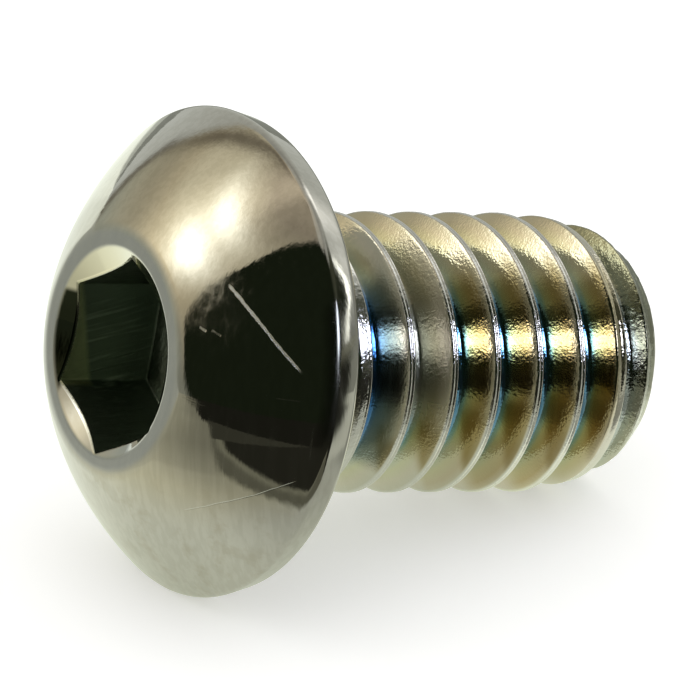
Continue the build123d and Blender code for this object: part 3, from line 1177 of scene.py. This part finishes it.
tent = blend(tent, room, past_left * under_top * before_right)

window = fade(tent_azimuth, 288, 294) * (1 - fade(tent_azimuth, 312, 316))
window = window * fade(tent_elevation, 12.5, 17) * (1 - fade(tent_elevation, 27, 31))
window_light = np.array([8.8, 9.2, 11.5])
tent = tent + window[..., None] * window_light
past_right = right_azimuth - opening_right
side_strip = fade(past_right, -0.5, 1) * (1 - fade(past_right, 2, 4))
side_strip = side_strip * fade(tent_elevation, -3, 3) * (1 - fade(tent_elevation, 13, 22))
strip_light = np.array([1.9, 1.95, 1.85])
tent = tent + side_strip[..., None] * strip_light
print("the tent's mean brightness is", tent.mean(axis=(0, 1)).round(3))


# %% Tools for what only mirrors see
def stage_only_in_mirrors(name, grid, surface):
    """A mesh from a grid of points, hidden from camera, diffuse and shadow rays."""
    number = np.arange(grid.shape[0] * grid.shape[1]).reshape(grid.shape[:2])
    corners = [number[:-1, :-1], number[:-1, 1:], number[1:, 1:], number[1:, :-1]]
    card_mesh = bpy.data.meshes.new(name)
    card_quads = np.stack(corners, axis=-1).reshape(-1, 4)
    card_mesh.from_pydata(grid.reshape(-1, 3).tolist(), [], card_quads.tolist())
    card_mesh.materials.append(surface)
    card = bpy.data.objects.new(name, card_mesh)
    bpy.context.scene.collection.objects.link(card)
    card.visible_camera = False
    card.visible_diffuse = False
    card.visible_shadow = False
    return card_mesh


def paint(card_mesh, name, colours):
    """A colour for each point of a mesh, from a grid of red, green and blue."""
    layer = card_mesh.color_attributes.new(name, "FLOAT_COLOR", "POINT")
    opaque = np.concatenate([colours, np.ones(colours.shape[:2] + (1,))], axis=-1)
    layer.data.foreach_set("color", opaque.astype(np.float32).ravel())


def glowing(name, layer_name):
    """A material that gives off the colour painted on its points."""
    surface = bpy.data.materials.new(name)
    surface.use_nodes = True
    nodes = surface.node_tree
    nodes.nodes.clear()
    emission = nodes.nodes.new("ShaderNodeEmission")
    colour_node = nodes.nodes.new("ShaderNodeVertexColor")
    colour_node.layer_name = layer_name
    nodes.links.new(colour_node.outputs["Color"], emission.inputs["Color"])
    output = nodes.nodes.new("ShaderNodeOutputMaterial")
    nodes.links.new(emission.outputs["Emission"], output.inputs["Surface"])
    return surface


print("cards for mirror rays hide from the camera, from diffuse rays and from shadow rays")

# %% Tent
tent_reach = 0.6
tent_points = tent_reach * np.stack([
    np.cos(np.radians(tent_elevation)) * np.cos(np.radians(tent_azimuth)),
    np.cos(np.radians(tent_elevation)) * np.sin(np.radians(tent_azimuth)),
    np.sin(np.radians(tent_elevation)),
], axis=-1)
tent_mesh = stage_only_in_mirrors("light_tent", tent_points, glowing("tent_cloth", "cloth_light"))
paint(tent_mesh, "cloth_light", tent)
print("the tent stands", tent_reach, "m from the screw")

# %% [markdown]
# ## The dark table
# In the metal the pale sheet ends a few millimetres in front of the screw, and the table beyond it
# is dark. A card just above the floor carries that edge. Like the tent it is there for mirror rays
# only, and it lets part of the real floor through, so the screw's own shadow stays in its
# reflection. Its places are in millimetres, and its values are brightness, where 1 is white.

# %% Edge of the sheet
along_x = np.concatenate([
    [-620, -400, -250, -150, -110], np.linspace(-90, 60, 188), [75, 100, 150, 250, 400, 620],
])
along_y = np.concatenate([
    [-620, -400, -250, -150, -100, -80], np.linspace(-64, 16, 161), [22, 30, 45, 70, 120, 250, 620],
])
table_x, table_y = np.meshgrid(along_x, along_y)
edge_line = np.array([
    (-600, -90), (-64, -15.5), (-46, -14.2), (-18, -7.6), (-15, -8.3), (-12, -9.9), (-9, -11.1),
    (-5, -11.2), (-3, -10.8), (0, -9.8), (3, -12.6), (9, -14), (14, -15.8), (16, -17.4),
    (105, -53), (600, -330),
])
past_edge = np.interp(table_x, *edge_line.T) - table_y
on_sheet = 1 - fade(past_edge, -0.5, 0.3)
print("the sheet covers", round(float(on_sheet.mean()), 2), "of the card's points")

# %% Light on the sheet
sheet_light = 0.42 + 0.40 * fade(table_x, -27, -7)
sheet_light = sheet_light * (1 - 0.38 * fade(past_edge, -8, -1)) * (1 - 0.10 * (table_x < -16.5))
sheet_light = sheet_light * (0.92 + 0.26 * fade(table_y, -3, 5))
right_light = 0.32 + 0.76 * fade(table_y, -6.2, -4.4) + 0.26 * fade(table_y, -9.6, -10.8)
right_light = right_light - 0.55 * fade(table_x, 11, 14) * fade(table_y, -7, -4)
right_light = np.where(table_x > 20, 0.27, right_light)
sheet_light = sheet_light + fade(table_x, 1, 4) * (right_light - sheet_light)
print("the sheet's light runs from", sheet_light.min().round(2), "to", sheet_light.max().round(2))

# %% Light past the sheet
strip_line = np.interp(
    table_x, [-31, -26, -24, -20, -16.4, -14.1, -12.8, -9, -4],
    [-12, -10.7, -10.4, -10.6, -10.9, -11.4, -12.3, -14.2, -18],
)
past_strip = strip_line - table_y
table_dark = 0.014
beyond = 0.12 + 0.09 * np.exp(-(past_strip / 0.6) ** 2)
beyond = beyond + (0.022 - beyond) * fade(past_strip, 0.3, 1.0)
beyond = np.where(table_x < -31, 0.045, beyond)
beyond = np.where(table_x > 0, 0.016, beyond)
beyond = np.where(table_y < -19.5 - 0.62 * (table_x + 51.5), table_dark, beyond)
beyond = np.where(table_x < -55, table_dark, beyond)
beyond = beyond + (0.26 - beyond) * fade(table_x, 55, 160)
print("past the sheet the light runs from", beyond.min().round(3), "to", beyond.max().round(3))

# %% Colours of the card
full_sheet = 1.18
let_through = 0.6
cover = 1 - on_sheet * np.clip(let_through * sheet_light / full_sheet, 0, 1)
warm = (1 - fade(table_x, -14, -9) * 0.85) * (1 - 0.8 * fade(table_y, 4, 14))
tint = np.array([1.0, 1.05, 0.93]) + warm[..., None] * np.array([0.0, -0.065, -0.19])
sheet_tint = np.array([1, 1, 0.98])
own_light = sheet_light[..., None] * (tint - let_through * sheet_tint)
shade = own_light * on_sheet[..., None]
table_tint = np.array([1.0, 1.0, 0.74])
shade = shade + (beyond * (1 - on_sheet))[..., None] * table_tint
shade = shade / np.maximum(cover, 0.001)[..., None]
print("the card hides", cover.mean().round(2), "of the floor below it")

# %% Dark table
dark_wood = glowing("dark_table_top", "shade")
wood_nodes = dark_wood.node_tree
wood_mix = wood_nodes.nodes.new("ShaderNodeMixShader")
wood_clear = wood_nodes.nodes.new("ShaderNodeBsdfTransparent")
connect(wood_nodes, attribute(wood_nodes, "cover"), wood_mix.inputs["Fac"])
connect(wood_nodes, wood_clear.outputs["BSDF"], wood_mix.inputs[1])
connect(wood_nodes, wood_nodes.nodes["Emission"].outputs["Emission"], wood_mix.inputs[2])
connect(wood_nodes, wood_mix.outputs["Shader"], wood_nodes.nodes["Material Output"].inputs["Surface"])

card_height = 0.05
table_points = np.stack([table_x, table_y, np.full(table_x.shape, card_height)], axis=-1) * MM
table_mesh = stage_only_in_mirrors("dark_table", table_points, dark_wood)
paint(table_mesh, "shade", shade)
cover_layer = table_mesh.attributes.new("cover", "FLOAT", "POINT")
cover_layer.data.foreach_set("value", cover.ravel().astype(np.float32))
print("the table card has", len(table_mesh.vertices), "points")

# %% [markdown]
# ## Plain light
# A white sky of strength 1 lights every dull surface evenly, so a colour renders as it is written,
# and it leaves a soft shadow where the screw meets the sheet. No lamp is needed beside it.

# %% World
world = bpy.data.worlds.new("studio")
world.use_nodes = True
bpy.context.scene.world = world
world.node_tree.nodes["Background"].inputs["Color"].default_value = (1, 1, 1, 1)
world.node_tree.nodes["Background"].inputs["Strength"].default_value = 1.0
bpy.context.scene.view_settings.view_transform = "Standard"
print("the world's strength is 1")
